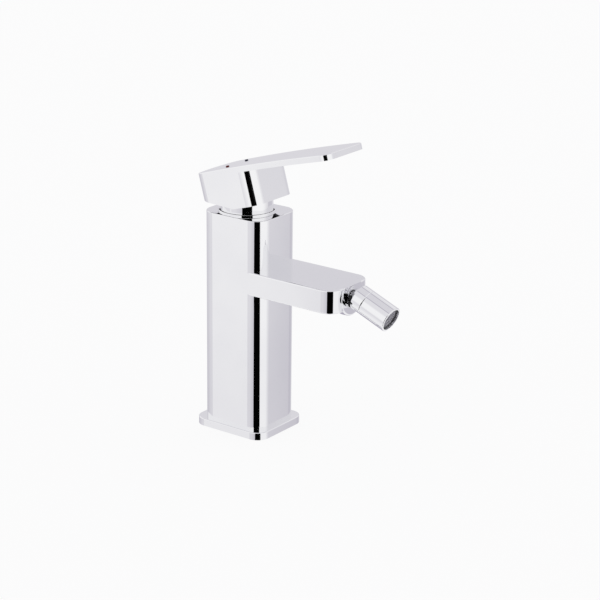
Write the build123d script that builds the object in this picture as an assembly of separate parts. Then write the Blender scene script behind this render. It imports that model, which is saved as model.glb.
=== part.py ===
from build123d import *

import os
from math import cos, radians, sin, sqrt

# A single-lever bidet mixer: a cast column with a flat spout, a ceramic disc cartridge under a
# hollow lever, and a spray nozzle on a ball joint. Millimetres, +Z up, the spout points along -Y.
# The origin is the centre of the column's footprint, on the face that rests on the bidet's deck.

# Clearances shared by the pieces
overrun = 2.0
slip_gap = 0.1
free_gap = 0.3
seat_gap = 0.05

# Cartridge, the size that the column and the handle are built around
cartridge_radius = 12.6
barrel_wall = 2.4
neck_wall = 1.4
rotor_gap = 0.2
rotor_shoulder = 1.8
port_spread_share = 0.43
port_behind_share = 0.28
port_ahead_share = 0.44
waterway_share = 0.206
peg_spread_share = 0.76
peg_radius = 1.2
peg_length = 2.0
port_ring_margin = 1.0
port_ring_section = 0.62
port_groove_width = 1.5
cartridge_lift = 0.3
base_disc_height = 6.0
fixed_disc_height = 3.5
moving_disc_height = 3.5
moving_disc_gap = 0.38
moving_rim = 2.8
moving_pocket_depth = 2.0
carrier_plate_height = 2.2
carrier_gap = 0.7
tongue_width_share = 0.635
tongue_length_share = 0.68
tongue_height = 5.2
tongue_gap = 0.2
lip_gap = 0.4
lip_height = 1.2

# Chamber, on an axis a little behind the middle of the column
axis_y = 2.0
chamber_gap = 0.2
chamber_depth = 29.0
mouth_step = 1.3
mouth_depth = 7.5
housing_stand = 2.5

# Spindle, on the lift pivot
pivot_rise = 4.0
pin_cover = 3.0
pin_radius = 1.5
pin_inset = 0.7
hub_width_share = 0.508
hub_radius_share = 0.334
stem_side = 8.0
stem_corner = 0.8
arm_share = 0.15
foot_share = 0.19
foot_gap = 0.95
full_lift = 23.0
rest_lift = 16.2

# Cartridge nut, cover and the ring between them
collar_step = 0.8
collar_height = 3.5
nut_notch_width = 3.0
nut_notch_depth = 1.4
nut_notch_count = 4
cover_ring_section = 0.62
cover_groove_lift = 1.0
collar_gap = 0.7
cover_wall = 1.7
cover_over = 1.5
cover_lip = 1.6
cover_mouth_gap = 1.1
cover_round = 1.2
cover_flare = 1.8
cover_foot_height = 1.2
cover_foot_round = 0.5

# Handle, drawn level with the pivot as its origin; ahead is -Y and behind is +Y
handle_gap = 0.8
handle_wall = 2.4
handle_inset = 0.2
lever_ahead = 80.3
lever_behind = 16.7
lever_bow = 5.0
lever_crest_ahead = 28.0
lever_arch_radius = 1350.0
lever_thickness = 3.6
lever_corner = 5.6
lever_edge_round = 0.5
block_front_gap = 4.2
block_lift = 2.45
block_corner = 8.0
back_corner = 6.0
relief_angle = 18.5
relief_start = 4.2
ceiling_wall = 4.5
hub_block_width = 13.0
hub_block_length = 12.4
hub_block_gap = 0.6
stem_hold = 9.35
stem_cover = 2.1
rib_thickness = 2.0
rib_set = 2.4
screw_drop = 3.1
screw_rib_width = 8.4
screw_rib_wall = 1.2
screw_radius = 2.5
screw_length = 9.0
screw_key_radius = 1.25
screw_key_depth = 2.5
screw_key_sides = 6
screw_tip = 0.6
plug_radius = 3.0
plug_length = 2.6
index_radius = 1.05
index_spread = 9.05
index_behind = 0.9
index_depth = 1.0
index_stand = 0.6
index_round = 0.35

# Column
body_depth = 44.5
body_top = 135.0
body_corner = 9.0
edge_round = 0.4

# Base plate and its seal
plate_margin = 3.3
plate_height = 4.6
plate_corner = 8.0
plate_edge_round = 0.5
spigot_inset = 2.5
spigot_lift = 0.6
spigot_wall = 3.0
recess_height = 80.0
seal_width = 2.6
seal_depth = 1.5

# Inlet block, screwed up against the ceiling of the recess in the column
inlet_block_height = 16.0
inlet_spacing = 14.0
inlet_setback = 6.0
inlet_thread_radius = 4.46
inlet_depth = 12.0
stud_forward = 9.5
stud_thread_radius = 3.4
stud_depth = 14.0
fixing_spread = 18.8
fixing_forward = 8.0
fixing_radius = 1.45
fixing_hole_gap = 0.15
fixing_reach = 8.0
fixing_drill_gap = 1.0
fixing_head_radius = 2.75
fixing_head_height = 3.0
fixing_head_gap = 0.2
fixing_head_sink = 0.5
fixing_key_radius = 1.44
fixing_key_depth = 1.6

# Spout and its boss
spout_front = 75.2
spout_top = 103.5
spout_thickness = 14.2
spout_corner = 9.0
spout_edge_round = 0.8
channel_side = 9.0
channel_wall = 3.4
channel_corner_share = 0.4
nose_length = 13.2
boss_radius = 11.4
boss_stand = 0.2
boss_length = 4.2
boss_round = 1.2

# Ball nipple, turning in the boss
ball_reach = 6.2
ball_radius = 5.9
shank_radius = 5.87
shank_gap = 0.08
shank_length = 7.0
shank_end_gap = 1.0
flange_radius = 6.8
flange_height = 0.7
nipple_neck_radius = 3.5
nipple_bore = 2.4
nipple_ring_section = 0.6
nipple_groove_setback = 3.2

# Nozzle, drawn along its own axis from the centre of the ball
nozzle_tilt = 22.0
nozzle_length = 22.4
ball_seat_gap = 0.1
collar_behind = 2.2
collar_ahead = 4.6
collar_wall = 1.1
seam_chamfer = 0.3
spigot_bore_gap = 0.2
spigot_ring_wall = 0.5
spigot_start = 0.9
sleeve_floor = 7.2
sleeve_bore = 4.2
seat_ring_gap = 0.2
seat_ring_bore = 3.4
seat_ring_start = 3.5
rim_wall = 1.1
rim_round = 0.5
aerator_depth = 8.4
washer_height = 1.0
washer_bore = 4.0
insert_gap = 0.2
insert_height = 6.0
insert_wall = 0.6
insert_floor = 1.2
insert_hole_radius = 0.7
insert_hole_ring = 3.2
insert_hole_count = 8
mesh_height = 0.5
mesh_inset = 0.2

# Radii that follow from the cartridge outwards
housing_bore = cartridge_radius - barrel_wall
housing_neck_radius = housing_bore + neck_wall
tongue_width = tongue_width_share * cartridge_radius
tongue_length = tongue_length_share * cartridge_radius
hub_width = hub_width_share * cartridge_radius
hub_radius = hub_radius_share * cartridge_radius
spindle_slot_width = hub_width + 2 * free_gap
arm_radius = arm_share * cartridge_radius
foot_radius = foot_share * cartridge_radius
rotor_radius = housing_bore - rotor_gap
rotor_neck_radius = rotor_radius - rotor_shoulder
lip_radius = rotor_neck_radius + lip_gap
waterway_radius = waterway_share * cartridge_radius
port_ring_radius = waterway_radius + port_ring_margin
port_groove_depth = 2 * port_ring_section - cartridge_lift + slip_gap
fixed_disc_radius = housing_bore - free_gap
chamber_radius = cartridge_radius + chamber_gap
mouth_radius = chamber_radius + mouth_step
nut_thread_radius = mouth_radius - slip_gap
nut_bore = housing_neck_radius + slip_gap
collar_radius = nut_thread_radius - collar_step
cover_bore = collar_radius + collar_gap
cover_radius = cover_bore + cover_wall
cover_foot_radius = cover_radius + cover_flare
cover_mouth_radius = rotor_neck_radius + cover_mouth_gap
cover_ring_radius = cover_bore - seat_gap - cover_ring_section
cover_groove_floor = cover_ring_radius - cover_ring_section - seat_gap
cover_groove_height = 2 * (cover_ring_section + seat_gap)
handle_width = 2 * (cover_radius + handle_gap + handle_wall)
body_width = handle_width + 2 * handle_inset
plate_width = body_width + 2 * plate_margin
plate_depth = body_depth + 2 * plate_margin
recess_width = body_width - 2 * (spigot_inset + spigot_wall)
recess_depth = body_depth - 2 * (spigot_inset + spigot_wall)
recess_corner = body_corner - spigot_inset - spigot_wall

# Heights of the recess in the column and of the inlet block at its ceiling
recess_ceiling = spigot_lift + recess_height
inlet_block_bottom = recess_ceiling - inlet_block_height
block_groove_height = 2 * (port_ring_section + seat_gap)
fixing_seat = inlet_block_bottom + fixing_head_sink + fixing_head_height

# Heights of the cartridge and its cover
chamber_floor = body_top - chamber_depth
mouth_floor = body_top - mouth_depth
base_disc_top = chamber_floor + base_disc_height
fixed_disc_top = base_disc_top + fixed_disc_height
moving_disc_top = fixed_disc_top + moving_disc_height
carrier_top = moving_disc_top + carrier_plate_height
rotor_floor = carrier_top + carrier_gap
housing_top = body_top + housing_stand
rotor_step = housing_top - lip_height - free_gap
pivot_z = body_top + pivot_rise
rotor_top = pivot_z + pin_cover
cover_top = rotor_top + cover_over

# The lift, the foot that it swings and the disc that the foot slides
arm_length = pivot_z - carrier_top - foot_gap - foot_radius
full_shift = arm_length * sin(radians(full_lift))
foot_y = axis_y - arm_length * sin(radians(rest_lift))
disc_y = foot_y + full_shift / 2
moving_disc_radius = housing_bore - full_shift / 2 - moving_disc_gap
travel_left = full_shift - (axis_y - foot_y) + slip_gap

# Heights of the handle above the pivot, so that it clears the cover over its whole lift
lift_sine = sin(radians(full_lift))
lift_cosine = cos(radians(full_lift))
stem_bottom = (pin_cover + free_gap + stem_side / 2 * lift_sine) / lift_cosine
hub_block_reach = hub_block_length / 2 * lift_sine
hub_block_bottom = (cover_top - pivot_z + hub_block_gap + hub_block_reach) / lift_cosine
stem_top = hub_block_bottom + stem_hold
hollow_top = stem_top + stem_cover
lever_crest = hollow_top + ceiling_wall
screw_height = stem_top - screw_drop
screw_rib_bottom = screw_height - screw_radius - screw_rib_wall
block_bottom = body_top + cover_foot_height + block_lift - pivot_z
block_ahead = cover_radius + block_front_gap + handle_wall
back_reach = lever_behind + lever_bow

# Places along the spout and the nozzle
spout_bottom = spout_top - spout_thickness
socket_z = (spout_top + spout_bottom) / 2
boss_face = spout_front + boss_stand
ball_ahead = boss_face + ball_reach
channel_end = spout_front - nose_length
channel_width = body_width - 2 * channel_side
channel_height = spout_thickness - 2 * channel_wall
socket_radius = shank_radius + shank_gap
socket_depth = shank_length + shank_end_gap
nipple_ring_radius = shank_radius - nipple_ring_section
nipple_groove_floor = nipple_ring_radius - nipple_ring_section - seat_gap
spigot_bore = ball_radius + spigot_bore_gap
spigot_radius = spigot_bore + spigot_ring_wall
collar_bore = spigot_radius + slip_gap
nozzle_radius = collar_bore + collar_wall
aerator_bore = nozzle_radius - rim_wall
aerator_seat = nozzle_length - aerator_depth
seat_ring_radius = spigot_bore - seat_ring_gap
insert_radius = aerator_bore - insert_gap
mesh_radius = insert_radius - insert_wall - slip_gap


def slab(width, depth, height, corner, bottom):
    """A rounded rectangular block standing on the height called bottom."""
    outline = RectangleRounded(width, depth, corner)
    return extrude(Pos(0, 0, bottom) * outline, amount=height)


def rod(radius, bottom, top, x=0, y=0):
    """An upright round rod or hole between two heights."""
    return extrude(Pos(x, y, bottom) * Circle(radius), amount=top - bottom)


def lying_rod(radius, start, end, z, x=0):
    """A round rod or hole that runs forward along -Y, between two distances ahead of the origin."""
    plane = Plane.XZ.offset(start)
    return extrude(plane * Pos(x, z) * Circle(radius), amount=end - start)


def block(x_size, y_size, z_size, y_middle, bottom):
    """A plain block centred on X."""
    return Pos(0, y_middle, bottom + z_size / 2) * Box(x_size, y_size, z_size)


def hoop(radius, section, height, x=0, y=0):
    """A ring of round section lying flat."""
    return Pos(x, y, height) * Torus(radius, section)


def port_places():
    """The hot, cold and mixed ports of the cartridge."""
    spread = port_spread_share * cartridge_radius
    behind = axis_y + port_behind_share * cartridge_radius
    ahead = axis_y - port_ahead_share * cartridge_radius
    return [(-spread, behind), (spread, behind), (0, ahead)]


def peg_places():
    """The two pegs that keep the cartridge from turning."""
    spread = peg_spread_share * cartridge_radius
    ahead = axis_y - port_behind_share * cartridge_radius
    return [(-spread, ahead), (spread, ahead)]


def fixing_places():
    """The two screws of the inlet block."""
    return [(-fixing_spread / 2, -fixing_forward), (fixing_spread / 2, -fixing_forward)]


def column_shell():
    """The hollow lower part of the casting, with the spigot that drops into the base plate."""
    wall = slab(body_width, body_depth, recess_ceiling - plate_height, body_corner, plate_height)
    spigot_width = body_width - 2 * spigot_inset
    spigot_depth = body_depth - 2 * spigot_inset
    spigot_corner = body_corner - spigot_inset
    wall += slab(spigot_width, spigot_depth, plate_height, spigot_corner, spigot_lift)
    recess_length = recess_height + 2 * overrun
    return wall - slab(recess_width, recess_depth, recess_length, recess_corner, spigot_lift - overrun)


def shell_space():
    """The place of the hollow lower part, which the spout stays out of."""
    return slab(body_width, body_depth, recess_ceiling, body_corner, 0)


def head():
    """The casting above the recess, with its top edge rounded."""
    upright = slab(body_width, body_depth, body_top - recess_ceiling, body_corner, recess_ceiling)
    return fillet(upright.edges().group_by(Axis.Z)[-1], edge_round)


def spout():
    """The flat spout, flush with both sides of the column, with the round boss at its end."""
    length = spout_front
    outline = Pos(0, -length / 2, spout_bottom) * RectangleRounded(body_width, length, spout_corner)
    arm = extrude(outline, amount=spout_thickness)
    rims = arm.edges().group_by(Axis.Z)
    arm = fillet(rims[-1] + rims[0], spout_edge_round)
    boss = lying_rod(boss_radius, boss_face - boss_length, boss_face, socket_z)
    boss = fillet(boss.edges().filter_by(GeomType.CIRCLE).sort_by(Axis.Y)[0], boss_round)
    boss_width = 2 * boss_radius
    crown = block(boss_width, boss_width, boss_radius, -boss_face, spout_top)
    return arm + (boss - crown)


def body_passages():
    """Everything that is cored or drilled out of the head and the spout."""
    holes = rod(chamber_radius, chamber_floor, body_top + overrun, 0, axis_y)
    for x, y in fixing_places():
        drilled = recess_ceiling + fixing_reach + fixing_drill_gap
        holes += rod(fixing_radius + seat_gap, recess_ceiling - overrun, drilled, x, y)
    hot, cold, mixed = port_places()
    for x, y in (hot, cold):
        holes += rod(waterway_radius, recess_ceiling - overrun, chamber_floor + overrun, x, y)
    holes += rod(waterway_radius, socket_z, chamber_floor + overrun, *mixed)
    channel_start = -mixed[1] - 2 * waterway_radius
    section = Plane.XZ.offset(channel_start) * Pos(0, socket_z)
    channel_corner = channel_corner_share * channel_height
    section = section * RectangleRounded(channel_width, channel_height, channel_corner)
    holes += extrude(section, amount=channel_end - channel_start)
    holes += lying_rod(nipple_neck_radius, channel_end - overrun, boss_face, socket_z)
    holes += lying_rod(socket_radius, boss_face - socket_depth, boss_face + overrun, socket_z)
    holes += rod(mouth_radius, mouth_floor, body_top + overrun, 0, axis_y)
    peg_floor = chamber_floor - peg_length - slip_gap
    for x, y in peg_places():
        holes += rod(peg_radius + slip_gap, peg_floor, chamber_floor + overrun, x, y)
    return holes


def body():
    return head() + (spout() - shell_space()) - body_passages()


def inlet_block():
    """The brass block in the recess: hose threads and stud hole below, a sealed port above each inlet."""
    width = recess_width - 2 * slip_gap
    depth = recess_depth - 2 * slip_gap
    shape = slab(width, depth, inlet_block_height, recess_corner - slip_gap, inlet_block_bottom)
    drill_start = inlet_block_bottom - overrun
    inlet_floor = inlet_block_bottom + inlet_depth
    for side in (-1, 1):
        x = side * inlet_spacing / 2
        shape -= rod(inlet_thread_radius, drill_start, inlet_floor, x, inlet_setback)
    shape -= rod(stud_thread_radius, drill_start, inlet_block_bottom + stud_depth, 0, -stud_forward)
    hot, cold, mixed = port_places()
    outer = port_ring_radius + port_groove_width / 2
    inner = port_ring_radius - port_groove_width / 2
    groove_bottom = recess_ceiling - block_groove_height
    for x, y in (hot, cold):
        shape -= rod(waterway_radius, inlet_floor - overrun, recess_ceiling + overrun, x, y)
        groove = rod(outer, groove_bottom, recess_ceiling + overrun, x, y)
        shape -= groove - rod(inner, groove_bottom, recess_ceiling + overrun, x, y)
    for x, y in fixing_places():
        shape -= rod(fixing_radius + fixing_hole_gap, drill_start, recess_ceiling + overrun, x, y)
        shape -= rod(fixing_head_radius + fixing_head_gap, drill_start, fixing_seat, x, y)
    return shape


def block_seals():
    """The two rings between the inlet block and the ceiling of the recess."""
    hot, cold, mixed = port_places()
    height = recess_ceiling - port_ring_section - seat_gap
    rings = [hoop(port_ring_radius, port_ring_section, height, x, y) for x, y in (hot, cold)]
    return Compound(rings)


def block_screws():
    """The two socket screws that hold the inlet block up, with their heads sunk in it."""
    head_bottom = fixing_seat - fixing_head_height
    screws = []
    for x, y in fixing_places():
        screw = rod(fixing_radius, head_bottom, recess_ceiling + fixing_reach, x, y)
        screw += rod(fixing_head_radius, head_bottom, fixing_seat, x, y)
        key = Pos(x, y, head_bottom) * RegularPolygon(fixing_key_radius, screw_key_sides)
        screws.append(screw - extrude(key, amount=fixing_key_depth))
    return Compound(screws)


def seal_ring(bottom, height):
    """The rectangular ring that lies halfway between the plate's rim and its opening."""
    middle_width = (plate_width + body_width) / 2 - spigot_inset
    middle_depth = (plate_depth + body_depth) / 2 - spigot_inset
    middle_corner = (plate_corner + body_corner - spigot_inset) / 2
    outer_corner = middle_corner + seal_width / 2
    inner_corner = middle_corner - seal_width / 2
    outer = slab(middle_width + seal_width, middle_depth + seal_width, height, outer_corner, bottom)
    inner = slab(middle_width - seal_width, middle_depth - seal_width, height, inner_corner, bottom)
    return outer - inner


def base_plate():
    """The rim that the column stands on, open in the middle for the spigot and the hoses."""
    plate = slab(plate_width, plate_depth, plate_height, plate_corner, 0)
    plate = fillet(plate.edges().group_by(Axis.Z)[-1], plate_edge_round)
    opening_inset = spigot_inset - slip_gap
    opening_width = body_width - 2 * opening_inset
    opening_depth = body_depth - 2 * opening_inset
    opening_corner = body_corner - opening_inset
    opening = slab(opening_width, opening_depth, plate_height + 2 * overrun, opening_corner, -overrun)
    return plate - opening - seal_ring(-overrun, seal_depth + overrun)


def base_seal():
    return seal_ring(0, seal_depth)


def cartridge_base():
    """The ported disc that closes the cartridge, with a groove around each port."""
    bottom = chamber_floor + cartridge_lift
    groove_top = bottom + port_groove_depth
    outer = port_ring_radius + port_groove_width / 2
    inner = port_ring_radius - port_groove_width / 2
    disc = rod(cartridge_radius - slip_gap, bottom, base_disc_top, 0, axis_y)
    for x, y in peg_places():
        disc += rod(peg_radius, chamber_floor - peg_length, bottom + slip_gap, x, y)
    for x, y in port_places():
        disc -= rod(waterway_radius, bottom - overrun, base_disc_top + overrun, x, y)
        groove = rod(outer, bottom - overrun, groove_top, x, y)
        disc -= groove - rod(inner, bottom - overrun, groove_top, x, y)
    return disc


def cartridge_seals():
    """Three rings, one around each port."""
    height = chamber_floor + port_ring_section + seat_gap
    rings = [hoop(port_ring_radius, port_ring_section, height, x, y) for x, y in port_places()]
    return Compound(rings)


def cartridge_housing():
    """The barrel that holds the discs down, stepped for the nut and closed by a lip."""
    barrel = rod(cartridge_radius, base_disc_top, mouth_floor, 0, axis_y)
    barrel += rod(housing_neck_radius, mouth_floor, housing_top, 0, axis_y)
    barrel -= rod(housing_bore, base_disc_top - overrun, housing_top - lip_height, 0, axis_y)
    return barrel - rod(lip_radius, mouth_floor, housing_top + overrun, 0, axis_y)


def fixed_disc():
    disc = rod(fixed_disc_radius, base_disc_top, fixed_disc_top, 0, axis_y)
    for x, y in port_places():
        disc -= rod(waterway_radius, base_disc_top - overrun, fixed_disc_top + overrun, x, y)
    return disc


def moving_disc():
    """The sliding disc, hollowed underneath so that it bridges the ports."""
    disc = rod(moving_disc_radius, fixed_disc_top, moving_disc_top, 0, disc_y)
    pocket_top = fixed_disc_top + moving_pocket_depth
    return disc - rod(moving_disc_radius - moving_rim, fixed_disc_top - overrun, pocket_top, 0, disc_y)


def disc_carrier():
    """The plate that pushes the sliding disc, with a tongue that holds the spindle's foot."""
    plate = rod(moving_disc_radius, moving_disc_top, carrier_top, 0, disc_y)
    tongue = block(tongue_width, tongue_length, tongue_height, foot_y, carrier_top)
    swept = rod(housing_bore - free_gap, carrier_top, rotor_top, 0, axis_y + travel_left)
    tongue = tongue & swept
    reach = 2 * (foot_radius + free_gap)
    pocket = block(reach, reach, tongue_height + overrun, foot_y, carrier_top)
    return plate + tongue - pocket


def temperature_sleeve():
    """The rotor in the housing: it guides the carrier below and holds the pivot pin above."""
    rotor = rod(rotor_radius, rotor_floor, rotor_step, 0, axis_y)
    rotor += rod(rotor_neck_radius, rotor_step, rotor_top, 0, axis_y)
    track_width = tongue_width + 2 * tongue_gap
    track_height = carrier_top + tongue_height + free_gap - rotor_floor
    rotor -= block(track_width, 3 * rotor_radius, track_height + overrun, axis_y, rotor_floor - overrun)
    ahead = full_shift + foot_radius + free_gap
    behind = foot_radius + free_gap
    slot_middle = axis_y + (behind - ahead) / 2
    slot_height = rotor_top - rotor_floor - pin_cover
    rotor -= block(spindle_slot_width, ahead + behind, slot_height, slot_middle, rotor_floor)
    hub_ahead = hub_radius + free_gap
    hub_behind = hub_radius / lift_cosine + pin_cover * lift_sine / lift_cosine + free_gap
    slot_bottom = pivot_z - hub_radius - free_gap
    slot_height = rotor_top - slot_bottom + overrun
    slot_middle = axis_y + (hub_behind - hub_ahead) / 2
    rotor -= block(spindle_slot_width, hub_ahead + hub_behind, slot_height, slot_middle, slot_bottom)
    return rotor - pin_rod(pin_radius + seat_gap / 2, 3 * rotor_radius)


def pin_rod(radius, length):
    return Pos(0, axis_y, pivot_z) * Rot(Y=90) * Cylinder(radius, length)


def spindle_pin():
    return pin_rod(pin_radius, 2 * (rotor_neck_radius - pin_inset))


def with_handle(shape):
    """Takes a shape drawn level around the pivot to the lift that the handle rests at."""
    return Pos(0, axis_y, pivot_z) * Rot(X=-rest_lift) * shape


def spindle():
    """The rocking stem: square above, a flat hub on the pin, and a round arm with a ball foot."""
    stem_outline = Pos(0, 0, stem_bottom) * RectangleRounded(stem_side, stem_side, stem_corner)
    stem = extrude(stem_outline, amount=stem_top - stem_bottom)
    stem = chamfer(stem.edges().group_by(Axis.Z)[-1], stem_corner)
    hub = Rot(Y=90) * Cylinder(hub_radius, hub_width)
    hub += block(hub_width, 2 * hub_radius, stem_bottom + stem_corner, 0, 0)
    arm = rod(arm_radius, -arm_length, 0)
    foot = Pos(0, 0, -arm_length) * Sphere(foot_radius)
    rocker = stem + hub + arm + foot
    return with_handle(rocker - Rot(Y=90) * Cylinder(pin_radius + seat_gap, body_width))


def cartridge_nut():
    """The ring nut that clamps the housing: its collar has a groove and spanner notches."""
    collar_top = body_top + collar_height
    nut = rod(nut_thread_radius, mouth_floor, body_top, 0, axis_y)
    nut += rod(collar_radius, body_top, collar_top, 0, axis_y)
    nut -= rod(nut_bore, mouth_floor - overrun, collar_top + overrun, 0, axis_y)
    groove_bottom = body_top + cover_groove_lift
    groove_top = groove_bottom + cover_groove_height
    groove = rod(collar_radius + overrun, groove_bottom, groove_top, 0, axis_y)
    nut -= groove - rod(cover_groove_floor, groove_bottom, groove_top, 0, axis_y)
    notch_height = nut_notch_depth + overrun
    notch = block(3 * collar_radius, nut_notch_width, notch_height, 0, collar_top - nut_notch_depth)
    for turn in range(nut_notch_count // 2):
        nut -= Pos(0, axis_y, 0) * Rot(Z=turn * 360 / nut_notch_count) * notch
    return nut


def cover_ring():
    """The small ring that grips the cover on the nut's collar."""
    height = body_top + cover_groove_lift + cover_groove_height / 2
    return hoop(cover_ring_radius, cover_ring_section, height, 0, axis_y)


def cartridge_cover():
    """The round neck: a cup turned upside down, flared at its foot and open for the spindle."""
    cup = rod(cover_radius, body_top, cover_top, 0, axis_y)
    cup = fillet(cup.edges().group_by(Axis.Z)[-1], cover_round)
    foot = rod(cover_foot_radius, body_top, body_top + cover_foot_height, 0, axis_y)
    foot = fillet(foot.edges().group_by(Axis.Z)[-1], cover_foot_round)
    cup += foot
    cup -= rod(cover_bore, body_top - overrun, cover_top - cover_lip, 0, axis_y)
    return cup - rod(cover_mouth_radius, body_top, cover_top + overrun, 0, axis_y)


def handle_outline(ahead, corner, inset=0):
    """The handle's outline from above: square ahead, bowed behind, drawn in by the inset."""
    side = handle_width / 2 - inset
    front = inset - ahead
    back = lever_behind - inset
    sides = Polyline((-side, back), (-side, front), (side, front), (side, back))
    bow = ThreePointArc((side, back), (0, back + lever_bow), (-side, back))
    face = make_face(sides + bow)
    corners = face.vertices().group_by(Axis.Y)
    face = fillet(corners[0], corner - inset)
    return fillet(face.vertices().group_by(Axis.Y)[-1], back_corner - inset)


def arch(top):
    """Everything below a long shallow arch across the handle, whose crest is at the height called top."""
    middle_z = top - lever_arch_radius
    reach = lever_ahead + overrun
    sector = Pos(-lever_crest_ahead, middle_z) * Circle(lever_arch_radius)
    window_height = 3 * lever_crest
    window = Pos(-lever_crest_ahead, top) * Rectangle(2 * reach, window_height)
    profile = Plane.YZ * (sector & window)
    return extrude(profile, amount=handle_width, both=True)


def handle_shell():
    """The lever and the block below it, in one casting, before it is hollowed."""
    tall = 3 * lever_crest
    lever = extrude(handle_outline(lever_ahead, lever_corner), amount=tall) & arch(lever_crest)
    lever -= arch(lever_crest - lever_thickness)
    lever = fillet(lever.edges().group_by(Axis.Z)[-1], lever_edge_round)
    plan = Pos(0, 0, block_bottom) * handle_outline(block_ahead, block_corner)
    foot = extrude(plan, amount=tall) & arch(lever_crest - lever_thickness / 2)
    return lever + foot


def handle_relief():
    """The wedge cut under the back of the block, which lets the handle lift."""
    wedge = block(2 * handle_width, 4 * back_reach, 2 * back_reach, 2 * back_reach, -2 * back_reach)
    return Pos(0, -relief_start, block_bottom) * Rot(X=relief_angle) * wedge


def handle_hollow():
    """The inside of the block, less the hub that grips the stem and the ribs that carry the hub."""
    floor = block_bottom - overrun
    plan = Pos(0, 0, floor) * handle_outline(block_ahead, block_corner, handle_wall)
    hollow = extrude(plan, amount=hollow_top - floor)
    hub = block(hub_block_width, hub_block_length, hollow_top, 0, hub_block_bottom)
    ribs = block(handle_width, rib_thickness, hollow_top, 0, hub_block_bottom + rib_set)
    ribs += block(screw_rib_width, back_reach, hollow_top, back_reach / 2, screw_rib_bottom)
    return hollow - hub - ribs


def screw_line(radius, start, end):
    """A round rod or hole along the grub screw's axis, behind the stem."""
    return extrude(Plane.XZ.offset(-end) * Pos(0, screw_height) * Circle(radius), amount=end - start)


def handle():
    """The hollow block and its lever, with the stem socket, the screw hole and the mark pockets."""
    shape = handle_shell() - handle_relief() - handle_hollow()
    socket_side = stem_side + slip_gap
    socket = Pos(0, 0, stem_top + seat_gap) * RectangleRounded(socket_side, socket_side, stem_corner)
    shape -= extrude(socket, amount=-stem_top)
    shape -= screw_line(screw_radius + seat_gap, 0, back_reach + overrun)
    shape -= screw_line(plug_radius + seat_gap, back_reach - plug_length, back_reach + overrun)
    for side in (-1, 1):
        shape -= index_rod(side, index_radius + seat_gap / 2, lever_crest)
    return with_handle(shape)


def index_rod(side, radius, top):
    """The round place of a temperature mark, sunk in the lever's top."""
    return rod(radius, mark_height() - index_depth, top, side * index_spread, index_behind)


def mark_height():
    """The height of the lever's top where the marks lie."""
    reach = lever_crest_ahead + index_behind
    return lever_crest - lever_arch_radius + sqrt(lever_arch_radius ** 2 - reach ** 2)


def index_mark(side):
    """A temperature mark, a small button that stands a little proud of the lever."""
    button = index_rod(side, index_radius, mark_height() + index_stand)
    return with_handle(fillet(button.edges().group_by(Axis.Z)[-1], index_round))


def grub_screw():
    """The set screw behind the stem, with its socket facing back."""
    start = stem_side / 2 + seat_gap
    screw = screw_line(screw_radius, start, start + screw_length)
    screw = chamfer(screw.edges().sort_by(Axis.Y)[0], screw_tip)
    key = RegularPolygon(screw_key_radius, screw_key_sides)
    back = start + screw_length
    screw -= extrude(Plane.XZ.offset(-back) * Pos(0, screw_height) * key, amount=screw_key_depth)
    return with_handle(screw)


def screw_plug():
    """The cap that closes the screw hole, following the bowed back of the block."""
    plug = screw_line(plug_radius, back_reach - plug_length, back_reach + overrun)
    shell = extrude(handle_outline(block_ahead, block_corner), amount=lever_crest)
    return with_handle(plug & shell)


def on_socket_axis(shape):
    """Turns a shape drawn along Z from the boss's face so that it points ahead along the socket axis."""
    return Pos(0, -boss_face, socket_z) * Rot(X=90) * shape


def ball_nipple():
    """The hollow ball on its neck, with a flange against the boss and a shank in it."""
    flange_top = slip_gap + flange_height
    nipple = rod(shank_radius, slip_gap - shank_length, slip_gap)
    nipple += rod(flange_radius, slip_gap, flange_top)
    nipple += rod(nipple_neck_radius, slip_gap, ball_reach)
    nipple += Pos(0, 0, ball_reach) * Sphere(ball_radius)
    groove_top = slip_gap - nipple_groove_setback
    groove_bottom = groove_top - 2 * (nipple_ring_section + seat_gap)
    groove = rod(shank_radius + overrun, groove_bottom, groove_top)
    nipple -= groove - rod(nipple_groove_floor, groove_bottom, groove_top)
    nipple -= rod(nipple_bore, -shank_length - overrun, ball_reach + ball_radius + overrun)
    return on_socket_axis(nipple)


def nipple_ring():
    """The small ring in the shank's groove."""
    height = slip_gap - nipple_groove_setback - nipple_ring_section - seat_gap
    return on_socket_axis(hoop(nipple_ring_radius, nipple_ring_section, height))


def with_nozzle(shape):
    """Takes a shape drawn along Z from the ball's centre to the nozzle's place and tilt."""
    return Pos(0, -ball_ahead, socket_z) * Rot(X=90 + nozzle_tilt) * shape


def nozzle_collar():
    """The ring that grips the ball from behind, with a spherical seat and a thread ahead of it."""
    collar = rod(nozzle_radius, -collar_behind, collar_ahead)
    rims = collar.edges().filter_by(GeomType.CIRCLE).sort_by(Axis.Z)
    collar = chamfer([rims[0], rims[-1]], seam_chamfer)
    collar -= Sphere(ball_radius + ball_seat_gap)
    collar -= rod(ball_radius + ball_seat_gap, 0, collar_ahead + overrun)
    return with_nozzle(collar - rod(collar_bore, spigot_start - slip_gap, collar_ahead + overrun))


def nozzle_sleeve():
    """The long sleeve, with a spigot in the collar and a wide bore for the aerator at its end."""
    sleeve = rod(nozzle_radius, collar_ahead, nozzle_length)
    sleeve = chamfer(sleeve.edges().group_by(Axis.Z)[0], seam_chamfer)
    sleeve = fillet(sleeve.edges().group_by(Axis.Z)[-1], rim_round)
    sleeve += rod(spigot_radius, spigot_start, collar_ahead + overrun)
    sleeve -= rod(spigot_bore, spigot_start - overrun, sleeve_floor)
    sleeve -= rod(sleeve_bore, sleeve_floor - overrun, aerator_seat + overrun)
    return with_nozzle(sleeve - rod(aerator_bore, aerator_seat, nozzle_length + overrun))


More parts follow.
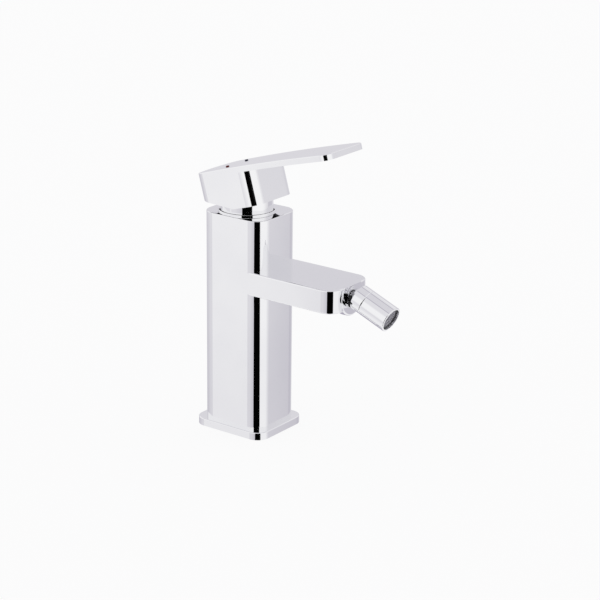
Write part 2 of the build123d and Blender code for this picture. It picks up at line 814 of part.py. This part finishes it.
def seat_ring():
    """The soft ring ahead of the ball, hollowed to its curve."""
    ring = rod(seat_ring_radius, seat_ring_start, sleeve_floor)
    ring -= rod(seat_ring_bore, seat_ring_start - overrun, sleeve_floor + overrun)
    return with_nozzle(ring - Sphere(ball_radius + ball_seat_gap))


def aerator_washer():
    washer = rod(insert_radius, aerator_seat, aerator_seat + washer_height)
    return with_nozzle(washer - rod(washer_bore, aerator_seat - overrun, aerator_seat + 2 * overrun))


def aerator_insert():
    """The cup that breaks up the jet, with a ring of holes in its floor."""
    bottom = aerator_seat + washer_height
    top = bottom + insert_height
    cup = rod(insert_radius, bottom, top)
    cup -= rod(insert_radius - insert_wall, bottom + insert_floor, top + overrun)
    for index in range(insert_hole_count):
        turn = radians(360 * index / insert_hole_count)
        hole_x = insert_hole_ring * cos(turn)
        hole_y = insert_hole_ring * sin(turn)
        cup -= rod(insert_hole_radius, bottom - overrun, bottom + insert_floor + overrun, hole_x, hole_y)
    return with_nozzle(cup)


def aerator_mesh():
    """The disc of mesh set just inside the cup's rim."""
    top = aerator_seat + washer_height + insert_height - mesh_inset
    return with_nozzle(rod(mesh_radius, top - mesh_height, top))


def pieces():
    """Every piece of the mixer under the name of its file."""
    return {
        "body": body(),
        "column_shell": column_shell(),
        "base_plate": base_plate(),
        "base_seal": base_seal(),
        "inlet_block": inlet_block(),
        "block_seals": block_seals(),
        "block_screws": block_screws(),
        "cartridge_base": cartridge_base(),
        "cartridge_seals": cartridge_seals(),
        "cartridge_housing": cartridge_housing(),
        "fixed_disc": fixed_disc(),
        "moving_disc": moving_disc(),
        "disc_carrier": disc_carrier(),
        "temperature_sleeve": temperature_sleeve(),
        "spindle_pin": spindle_pin(),
        "spindle": spindle(),
        "cartridge_nut": cartridge_nut(),
        "cover_ring": cover_ring(),
        "cartridge_cover": cartridge_cover(),
        "handle": handle(),
        "hot_mark": index_mark(-1),
        "cold_mark": index_mark(1),
        "grub_screw": grub_screw(),
        "screw_plug": screw_plug(),
        "ball_nipple": ball_nipple(),
        "nipple_ring": nipple_ring(),
        "nozzle_collar": nozzle_collar(),
        "nozzle_sleeve": nozzle_sleeve(),
        "seat_ring": seat_ring(),
        "aerator_washer": aerator_washer(),
        "aerator_insert": aerator_insert(),
        "aerator_mesh": aerator_mesh(),
    }


os.makedirs("parts", exist_ok=True)
for name, piece in pieces().items():
    export_step(piece, "parts/" + name + ".step")
    print(name, len(piece.solids()), round(piece.volume, 1))
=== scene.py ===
import math

import bmesh
import bpy
from mathutils import Matrix, Vector


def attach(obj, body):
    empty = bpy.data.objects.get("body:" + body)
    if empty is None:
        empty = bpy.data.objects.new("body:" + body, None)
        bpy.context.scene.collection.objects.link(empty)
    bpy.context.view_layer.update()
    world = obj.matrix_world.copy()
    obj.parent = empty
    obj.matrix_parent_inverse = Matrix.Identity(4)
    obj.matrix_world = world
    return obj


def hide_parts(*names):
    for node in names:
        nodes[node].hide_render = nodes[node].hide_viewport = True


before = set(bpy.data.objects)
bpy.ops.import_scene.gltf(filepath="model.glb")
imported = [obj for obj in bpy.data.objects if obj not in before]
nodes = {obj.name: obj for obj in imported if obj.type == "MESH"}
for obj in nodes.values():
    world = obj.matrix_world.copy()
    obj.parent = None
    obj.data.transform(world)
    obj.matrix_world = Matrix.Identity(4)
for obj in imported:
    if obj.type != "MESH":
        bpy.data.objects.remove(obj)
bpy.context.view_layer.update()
scene = bpy.context.scene

MM = 0.001
UP = Vector((0.0, 0.0, 1.0))

# Places and turns at rest, as in the solids
PIVOT = Vector((0.0, 0.002, 0.139))
REST_LIFT = math.radians(16.2)
BALL = Vector((0.0, -0.0816, 0.0964))
NOZZLE_TILT = math.radians(22.0)

# Camera, at the place and angle that the outlines of the photograph give
CAMERA_PLACE = (-0.914656, -0.7100704, 0.4713341)
CAMERA_AZIMUTH = math.radians(-53.6776)
CAMERA_ELEVATION = math.radians(18.7285)
CAMERA_ROLL = math.radians(0.6353)
CAMERA_LENS = 122.153
CAMERA_SENSOR = 36.0
CAMERA_NEAR = 0.05
CAMERA_FAR = 50.0

# The handle's hollow and the rim under its block, where shade is painted, from the pivot with the
# lever level
HOLLOW_HALF_WIDTH = 16.55 * MM
HOLLOW_FRONT = -19.95 * MM
HOLLOW_BACK = 19.5 * MM
HOLLOW_TOP = 19.7 * MM
BLOCK_FRONT = -23.2 * MM
RIM_TOP = 6.0 * MM
RIM_FACING = -0.7

# Painted shade in the ball's crevices: how far round it a crevice is felt, and the open shares at
# which the painted shade is dark and clear
CREVICE_REACH = 4.0 * MM
CREVICE_SAMPLES = 8
CREVICE_DARK_SHARE = 0.28
CREVICE_CLEAR_SHARE = 0.44

# Chrome plate: its two tints, the dark painted shade laid on its hollows and crevices, and its
# unevenness
PLATE_TINTS = ((0.870, 0.870, 0.888), (0.896, 0.896, 0.908))
PAINTED_SHADE_TINT = (0.035, 0.035, 0.038)
PAINTED_SHADE_ROUGHNESS = 0.55
SMUDGE_NOISE = {"scale": 60.0, "detail": 4.0}
SMUDGE_SPAN = (0.35, 0.75)
TINT_NOISE = {"scale": 25.0, "detail": 3.0}
WAVE_NOISE = {"scale": 45.0, "detail": 1.0}
WAVE_STRENGTH = 0.35
CAST_PLATE = {"roughness": (0.03, 0.07), "wave": 0.02 * MM}
TURNED_PLATE = {"roughness": (0.02, 0.05), "wave": 0.01 * MM}
COVER_PLATE = {"roughness": (0.02, 0.05), "wave": 0.004 * MM}

# Grained materials: the grain's detail and strength, and how much coarser the roughness varies
GRAIN_DETAIL = 4.0
GRAIN_STRENGTH = 0.4
PATCH_DETAIL = 2.0
PATCHES_PER_GRAIN = 3
NOISE_SPAN = (0.3, 0.7)
LOOKS = {
    "black_rubber": {
        "tints": ((0.012, 0.012, 0.013), (0.03, 0.03, 0.032)),
        "roughness": (0.55, 0.8), "grain": 900.0, "relief": 0.03 * MM,
    },
    "grey_moulding": {
        "tints": ((0.05, 0.052, 0.058), (0.085, 0.087, 0.092)),
        "roughness": (0.35, 0.55), "grain": 1200.0, "relief": 0.02 * MM,
    },
    "pale_moulding": {
        "tints": ((0.62, 0.61, 0.58), (0.72, 0.71, 0.68)),
        "roughness": (0.35, 0.5), "grain": 900.0, "relief": 0.02 * MM,
    },
    "ground_ceramic": {
        "tints": ((0.74, 0.72, 0.68), (0.84, 0.82, 0.78)),
        "roughness": (0.18, 0.3), "grain": 2500.0, "relief": 0.004 * MM,
    },
    "turned_brass": {
        "tints": ((0.52, 0.36, 0.14), (0.66, 0.48, 0.22)),
        "roughness": (0.25, 0.42), "grain": 700.0, "relief": 0.01 * MM, "metallic": 1.0,
    },
    "dark_steel": {
        "tints": ((0.30, 0.30, 0.31), (0.42, 0.42, 0.43)),
        "roughness": (0.25, 0.4), "grain": 900.0, "relief": 0.01 * MM, "metallic": 1.0,
    },
    "red_enamel": {
        "tints": ((0.10, 0.010, 0.010), (0.15, 0.016, 0.015)),
        "roughness": (0.2, 0.35), "grain": 1800.0, "relief": 0.01 * MM,
    },
    "blue_enamel": {
        "tints": ((0.010, 0.012, 0.030), (0.016, 0.018, 0.045)),
        "roughness": (0.2, 0.35), "grain": 1800.0, "relief": 0.01 * MM,
    },
    "weave_wire": {
        "tints": ((0.56, 0.55, 0.60), (0.70, 0.69, 0.74)),
        "roughness": (0.3, 0.45), "grain": 3000.0, "relief": 0.002 * MM, "metallic": 1.0,
    },
}
WEARERS = {
    "black_rubber": (
        "base_seal", "block_seals", "cartridge_seals", "cover_ring", "nipple_ring", "seat_ring",
        "aerator_washer",
    ),
    "grey_moulding": ("disc_carrier", "temperature_sleeve", "aerator_insert", "screw_plug"),
    "pale_moulding": ("cartridge_base", "cartridge_housing"),
    "ground_ceramic": ("fixed_disc", "moving_disc"),
    "turned_brass": ("cartridge_nut", "spindle", "inlet_block"),
    "dark_steel": ("spindle_pin", "grub_screw", "block_screws"),
    "red_enamel": ("hot_mark",),
    "blue_enamel": ("cold_mark",),
}

# Woven wire disc in the nozzle's end
MESH_RADIUS = 5.8 * MM
MESH_PLACE = 20.6 * MM
WIRE_RADIUS = 0.11 * MM
WIRE_PITCH = 0.62 * MM
WIRE_SHARE = 0.985
WIRE_LIFT = 1.05 * WIRE_RADIUS
WIRE_STEPS = 64
WIRE_SIDES = 6

# Floor
FLOOR_REACH = 6.0
FLOOR_COLOUR = (0.9, 0.9, 0.9, 1.0)
FLOOR_WHITENESS = 0.9
WHITE = (1.0, 1.0, 1.0, 1.0)

# Light tent. A bearing is in degrees, 0 towards -X and 90 towards -Y, half a turn each way from the
# middle one. A height and a place across are the upright part and the X part of the direction.
BEARING_MIDDLE = 80.0
QUARTER_TURN = 90.0
RIGHT_HEIGHTS = (-0.56, -0.42, 0.34, 0.5)
LEFT_HEIGHTS = (-0.56, -0.4, -0.31, -0.05)
BELOW_CEILING = (0.5, 0.34)
ALOFT = (0.4, 0.62)

# What each part of the tent takes from white. Two limits are where a part starts and is full, and
# the next two, if any, where it fades and ends.
SHADES = (
    # Right wall, darker from the line that the front faces mirror
    {"amount": 0.225, "bearing": (108.0, 144.0, 172.0, 206.0), "height": RIGHT_HEIGHTS},
    {"amount": 0.15, "bearing": (142.0, 144.5, 174.0, 188.0), "height": (-0.56, -0.42, -0.2, 0.1)},
    # Wall behind the object, darkest near the floor
    {"amount": 0.28, "bearing": (176.0, 204.0), "height": BELOW_CEILING},
    {"amount": 0.06, "bearing": (236.0, 254.0), "height": BELOW_CEILING},
    {"amount": 0.22, "bearing": (190.0, 216.0, 246.0, 262.0), "height": (-0.34, -0.44)},
    # Left wall, with one brighter panel beside the object
    {"amount": 0.2, "bearing": (60.0, 15.0), "height": LEFT_HEIGHTS},
    {"amount": -0.135, "bearing": (-44.0, -39.0, -37.8, -33.0), "height": LEFT_HEIGHTS},
    {"amount": 0.1, "bearing": (-20.0, 12.0, 15.0, 60.0), "height": LEFT_HEIGHTS},
    {"amount": 0.1, "bearing": (-52.0, -96.0), "height": LEFT_HEIGHTS},
    # Floor, a little darker towards the object
    {"amount": 0.05, "height": (-0.28, -0.38)},
    # Ceiling, with a darker panel between two dark seams
    {"amount": 0.16, "height": ALOFT},
    {"amount": 0.09, "across": (-0.39, -0.36, 0.5, 0.53), "height": (0.6, 0.8)},
    {"amount": 0.3, "across": (0.44, 0.51, 0.54, 0.61), "height": ALOFT},
    {"amount": 0.3, "across": (-0.46, -0.4, -0.37, -0.31), "height": ALOFT},
)

# How strongly the shades take red, green and blue
SHADE_WEIGHTS = (1.0, 1.04, 0.9)

# The dark gap in the tent's wall that the camera looks through, wider near the floor
GAP_BEARING = 38.4
GAP_HALF_WIDTHS = (21.6, 22.6)
GAP_WIDENING = 2.2
GAP_WIDENING_HEIGHTS = (-0.27, -0.37)
GAP_TOP_HEIGHTS = (0.45, 0.65)
GAP_DEPTH = 0.999


# Helpers for node trees
class Tree:
    def __init__(self, tree):
        self.tree = tree
        tree.nodes.clear()

    def add(self, kind, **values):
        node = self.tree.nodes.new(kind)
        for key, value in values.items():
            setattr(node, key, value)
        return node

    def link(self, source, target):
        self.tree.links.new(source, target)

    def math(self, operation, first, second=None):
        node = self.add("ShaderNodeMath", operation=operation)
        for index, value in enumerate((first, second)):
            if value is None:
                continue
            if isinstance(value, (int, float)):
                node.inputs[index].default_value = value
            else:
                self.link(value, node.inputs[index])
        return node.outputs[0]

    def product(self, first, *others):
        for other in others:
            first = self.math("MULTIPLY", first, other)
        return first

    def ramp(self, source, low, high, to_low=0.0, to_high=1.0):
        node = self.add("ShaderNodeMapRange", interpolation_type="SMOOTHSTEP")
        self.link(source, node.inputs["Value"])
        limits = {"From Min": low, "From Max": high, "To Min": to_low, "To Max": to_high}
        for name, value in limits.items():
            node.inputs[name].default_value = value
        return node.outputs["Result"]

    def span(self, source, start, full, *fall):
        rise = self.ramp(source, start, full)
        if not fall:
            return rise
        fade, end = fall
        return self.product(rise, self.ramp(source, fade, end, 1.0, 0.0))

    def split(self, vector):
        node = self.add("ShaderNodeSeparateXYZ")
        self.link(vector, node.inputs[0])
        return list(node.outputs)

    def coordinates(self, kind):
        return self.add("ShaderNodeTexCoord").outputs[kind]

    def noise(self, scale, detail):
        node = self.add("ShaderNodeTexNoise")
        node.inputs["Scale"].default_value = scale
        node.inputs["Detail"].default_value = detail
        self.link(self.coordinates("Object"), node.inputs["Vector"])
        return node.outputs["Fac"]

    def mix_value(self, factor, first, second):
        node = self.add("ShaderNodeMix", data_type="FLOAT")
        self.link(factor, node.inputs["Factor"])
        self.link(first, node.inputs["A"])
        node.inputs["B"].default_value = second
        return node.outputs[0]

    def mix_colour(self, factor, first, second):
        node = self.add("ShaderNodeMix", data_type="RGBA")
        self.link(factor, node.inputs["Factor"])
        for name, value in (("A", first), ("B", second)):
            socket = [s for s in node.inputs if s.name == name and s.type == "RGBA"][0]
            if isinstance(value, tuple):
                socket.default_value = (*value, 1.0)
            else:
                self.link(value, socket)
        return [s for s in node.outputs if s.type == "RGBA"][0]

    def mix_shader(self, factor, first, second, output_kind):
        node = self.add("ShaderNodeMixShader")
        for source, target in zip((factor, first, second), node.inputs):
            self.link(source, target)
        output = self.add(output_kind)
        self.link(node.outputs[0], output.inputs["Surface"])


def make_camera():
    level = math.cos(CAMERA_ELEVATION)
    right = Vector((math.cos(CAMERA_AZIMUTH), math.sin(CAMERA_AZIMUTH), 0.0))
    back = right.cross(UP) * level + UP * math.sin(CAMERA_ELEVATION)
    up = back.cross(right)
    turned_right = right * math.cos(CAMERA_ROLL) + up * math.sin(CAMERA_ROLL)
    turned_up = up * math.cos(CAMERA_ROLL) - right * math.sin(CAMERA_ROLL)
    data = bpy.data.cameras.new("camera")
    data.lens = CAMERA_LENS
    data.sensor_width = CAMERA_SENSOR
    data.clip_start = CAMERA_NEAR
    data.clip_end = CAMERA_FAR
    camera = bpy.data.objects.new("camera", data)
    axes = Matrix((turned_right, turned_up, back)).transposed().to_4x4()
    camera.matrix_world = Matrix.Translation(CAMERA_PLACE) @ axes
    scene.collection.objects.link(camera)
    scene.camera = camera


def new_material(name):
    material = bpy.data.materials.new(name)
    material.use_nodes = True
    tree = Tree(material.node_tree)
    shader = tree.add("ShaderNodeBsdfPrincipled")
    output = tree.add("ShaderNodeOutputMaterial")
    tree.link(shader.outputs[0], output.inputs["Surface"])
    return material, tree, shader


def bump(tree, shader, height, strength, distance):
    node = tree.add("ShaderNodeBump")
    node.inputs["Strength"].default_value = strength
    node.inputs["Distance"].default_value = distance
    tree.link(height, node.inputs["Height"])
    tree.link(node.outputs[0], shader.inputs["Normal"])


# Chrome, bright and faintly uneven as plating on a polished casting is. Where a given function asks
# for it, painted shade is laid on: the colour turns dark and the surface rough.
def chrome(name, roughness, wave, painted_shade=None):
    material, tree, shader = new_material(name)
    shader.inputs["Metallic"].default_value = 1.0
    gloss = tree.ramp(tree.noise(**SMUDGE_NOISE), *SMUDGE_SPAN, *roughness)
    tint = tree.mix_colour(tree.ramp(tree.noise(**TINT_NOISE), *NOISE_SPAN), *PLATE_TINTS)
    # Painted shade: where the given function says, the plating's colour turns dark and its surface
    # rough
    if painted_shade:
        mask = painted_shade(tree)
        tint = tree.mix_colour(mask, tint, PAINTED_SHADE_TINT)
        gloss = tree.mix_value(mask, gloss, PAINTED_SHADE_ROUGHNESS)
    tree.link(tint, shader.inputs["Base Color"])
    tree.link(gloss, shader.inputs["Roughness"])
    bump(tree, shader, tree.noise(**WAVE_NOISE), WAVE_STRENGTH, wave)
    return material


def grained(name, tints, roughness, grain, relief, metallic=0.0):
    material, tree, shader = new_material(name)
    grains = tree.noise(grain, GRAIN_DETAIL)
    patches = tree.noise(grain / PATCHES_PER_GRAIN, PATCH_DETAIL)
    tint = tree.mix_colour(tree.ramp(grains, *NOISE_SPAN), *tints)
    tree.link(tint, shader.inputs["Base Color"])
    tree.link(tree.ramp(patches, *NOISE_SPAN, *roughness), shader.inputs["Roughness"])
    shader.inputs["Metallic"].default_value = metallic
    bump(tree, shader, grains, GRAIN_STRENGTH, relief)
    return material


# Painted shade in the handle's hollow and on the rim under its block, told from the plated outside
# by its place in the block
def handle_hollow_shade(tree):
    place = tree.add("ShaderNodeVectorMath", operation="SUBTRACT")
    tree.link(tree.coordinates("Object"), place.inputs[0])
    place.inputs[1].default_value = PIVOT
    level = tree.add("ShaderNodeVectorRotate", rotation_type="X_AXIS")
    level.inputs["Angle"].default_value = REST_LIFT
    tree.link(place.outputs[0], level.inputs["Vector"])
    across, along, height = tree.split(level.outputs[0])
    facing = tree.split(tree.coordinates("Normal"))[2]
    hollow = tree.product(
        tree.math("LESS_THAN", tree.math("ABSOLUTE", across), HOLLOW_HALF_WIDTH),
        tree.math("GREATER_THAN", along, HOLLOW_FRONT),
        tree.math("LESS_THAN", along, HOLLOW_BACK),
        tree.math("LESS_THAN", height, HOLLOW_TOP),
    )
    rim = tree.product(
        tree.math("LESS_THAN", facing, RIM_FACING),
        tree.math("GREATER_THAN", along, BLOCK_FRONT),
        tree.math("LESS_THAN", height, RIM_TOP),
    )
    return tree.math("MAXIMUM", hollow, rim)


# Painted shade in the narrow gaps beside the ball, where the plating mirrors only itself: darker
# the more closed in a point is
def crevice_shade(tree):
    node = tree.add("ShaderNodeAmbientOcclusion", samples=CREVICE_SAMPLES)
    node.inputs["Distance"].default_value = CREVICE_REACH
    return tree.ramp(node.outputs["AO"], CREVICE_DARK_SHARE, CREVICE_CLEAR_SHARE, 1.0, 0.0)


def dress(names, material):
    for name in names:
        data = nodes[name].data
        data.materials.clear()
        data.materials.append(material)


def make_materials():
    dress(("body", "column_shell", "base_plate"), chrome("chrome_body", **CAST_PLATE))
    dress(("cartridge_cover",), chrome("chrome_cover", **COVER_PLATE))
    # Painted shade in the handle's hollow and on the rim under its block
    dress(("handle",), chrome("chrome_handle", painted_shade=handle_hollow_shade, **CAST_PLATE))
    # Painted shade in the crevices beside the ball
    dress(("ball_nipple",), chrome("chrome_ball", painted_shade=crevice_shade, **TURNED_PLATE))
    dress(("nozzle_collar", "nozzle_sleeve"), chrome("chrome_nozzle", **TURNED_PLATE))
    for look, names in WEARERS.items():
        dress(names, grained(look, **LOOKS[look]))


# One wire of the weave, which waves over and under the wires that cross it
def weave_wire(mesh, across, along, length, phase):
    side = along.cross(UP)
    rings = []
    for step in range(WIRE_STEPS + 1):
        place = (step / WIRE_STEPS - 0.5) * length
        lift = WIRE_LIFT * math.cos(math.pi * place / WIRE_PITCH + phase)
        centre = along * place + across + UP * lift
        ring = []
        for corner in range(WIRE_SIDES):
            turn = math.tau * corner / WIRE_SIDES
            reach = side * math.cos(turn) + UP * math.sin(turn)
            ring.append(mesh.verts.new(centre + reach * WIRE_RADIUS))
        rings.append(ring)
    for first, second in zip(rings, rings[1:]):
        for corner in range(WIRE_SIDES):
            after = (corner + 1) % WIRE_SIDES
            mesh.faces.new((first[corner], first[after], second[after], second[corner]))


def make_weave():
    mesh = bmesh.new()
    ahead = Vector((0.0, 1.0, 0.0))
    aside = Vector((1.0, 0.0, 0.0))
    count = int(MESH_RADIUS / WIRE_PITCH)
    for index in range(-count, count + 1):
        offset = index * WIRE_PITCH
        length = 2 * math.sqrt(MESH_RADIUS ** 2 - offset ** 2) * WIRE_SHARE
        phase = math.pi * (index % 2)
        weave_wire(mesh, aside * offset, ahead, length, phase)
        weave_wire(mesh, ahead * offset, aside, length, phase + math.pi)
    data = bpy.data.meshes.new("aerator_weave")
    mesh.to_mesh(data)
    mesh.free()
    for face in data.polygons:
        face.use_smooth = True
    weave = bpy.data.objects.new("aerator_weave", data)
    scene.collection.objects.link(weave)
    turn = Matrix.Rotation(math.pi / 2 + NOZZLE_TILT, 4, "X")
    weave.matrix_world = Matrix.Translation(BALL) @ turn @ Matrix.Translation(UP * MESH_PLACE)
    data.materials.append(grained("weave_wire", **LOOKS["weave_wire"]))
    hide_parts("aerator_mesh")
    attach(weave, "nozzle")


# Floor: pale and matt, and white to the camera apart from the object's shadow
def make_floor():
    mesh = bpy.data.meshes.new("floor")
    signs = ((-1, -1), (1, -1), (1, 1), (-1, 1))
    corners = [(FLOOR_REACH * x, FLOOR_REACH * y, 0.0) for x, y in signs]
    mesh.from_pydata(corners, [], [tuple(range(len(corners)))])
    floor = bpy.data.objects.new("floor", mesh)
    scene.collection.objects.link(floor)
    material = bpy.data.materials.new("floor")
    material.use_nodes = True
    tree = Tree(material.node_tree)
    matt = tree.add("ShaderNodeBsdfDiffuse")
    matt.inputs["Color"].default_value = FLOOR_COLOUR
    white = tree.add("ShaderNodeEmission")
    white.inputs["Strength"].default_value = 1.0
    path = tree.add("ShaderNodeLightPath")
    seen = tree.math("MAXIMUM", path.outputs["Is Camera Ray"], path.outputs["Is Glossy Ray"])
    seen = tree.math("MAXIMUM", seen, path.outputs["Is Transmission Ray"])
    factor = tree.product(seen, FLOOR_WHITENESS)
    tree.mix_shader(factor, matt.outputs[0], white.outputs[0], "ShaderNodeOutputMaterial")
    mesh.materials.append(material)
    floor.visible_glossy = False


def bearing_of(tree, place):
    def towards(bearing):
        turn = math.radians(bearing)
        node = tree.add("ShaderNodeVectorMath", operation="DOT_PRODUCT")
        tree.link(place, node.inputs[0])
        node.inputs[1].default_value = (-math.cos(turn), -math.sin(turn), 0.0)
        return node.outputs["Value"]

    turn = tree.math("ARCTAN2", towards(BEARING_MIDDLE + QUARTER_TURN), towards(BEARING_MIDDLE))
    return tree.math("ADD", tree.product(turn, math.degrees(1.0)), BEARING_MIDDLE)


# All the shades of the tent at a direction, added up
def shade_at(tree, measures):
    total = None
    for shade in SHADES:
        spans = [tree.span(measures[key], *shade[key]) for key in measures if key in shade]
        amount = tree.product(*spans, shade["amount"])
        total = amount if total is None else tree.math("ADD", total, amount)
    return total


def gap_at(tree, bearing, height):
    away = tree.math("ABSOLUTE", tree.math("SUBTRACT", bearing, GAP_BEARING))
    widening = tree.product(tree.ramp(height, *GAP_WIDENING_HEIGHTS), GAP_WIDENING)
    beside = tree.ramp(tree.math("SUBTRACT", away, widening), *GAP_HALF_WIDTHS, 1.0, 0.0)
    below = tree.ramp(height, *GAP_TOP_HEIGHTS, 1.0, 0.0)
    return tree.product(beside, below, GAP_DEPTH)


def background(tree):
    node = tree.add("ShaderNodeBackground")
    node.inputs["Color"].default_value = WHITE
    node.inputs["Strength"].default_value = 1.0
    return node


# World: a light tent to all but the camera, which sees plain white
def make_world():
    world = bpy.data.worlds.new("studio")
    scene.world = world
    world.use_nodes = True
    tree = Tree(world.node_tree)
    place = tree.coordinates("Generated")
    across, _, height = tree.split(place)
    bearing = bearing_of(tree, place)
    shade = shade_at(tree, {"bearing": bearing, "across": across, "height": height})
    open_part = tree.math("SUBTRACT", 1.0, gap_at(tree, bearing, height))
    tones = tree.add("ShaderNodeCombineXYZ")
    for weight, target in zip(SHADE_WEIGHTS, tones.inputs):
        tone = tree.math("SUBTRACT", 1.0, tree.product(shade, weight))
        tree.link(tree.product(tone, open_part), target)
    tent = background(tree)
    tree.link(tones.outputs[0], tent.inputs["Color"])
    seen = tree.add("ShaderNodeLightPath").outputs["Is Camera Ray"]
    white = background(tree)
    tree.mix_shader(seen, tent.outputs[0], white.outputs[0], "ShaderNodeOutputWorld")


scene.view_settings.view_transform = "Standard"
make_camera()
make_world()
make_floor()
make_materials()
make_weave()
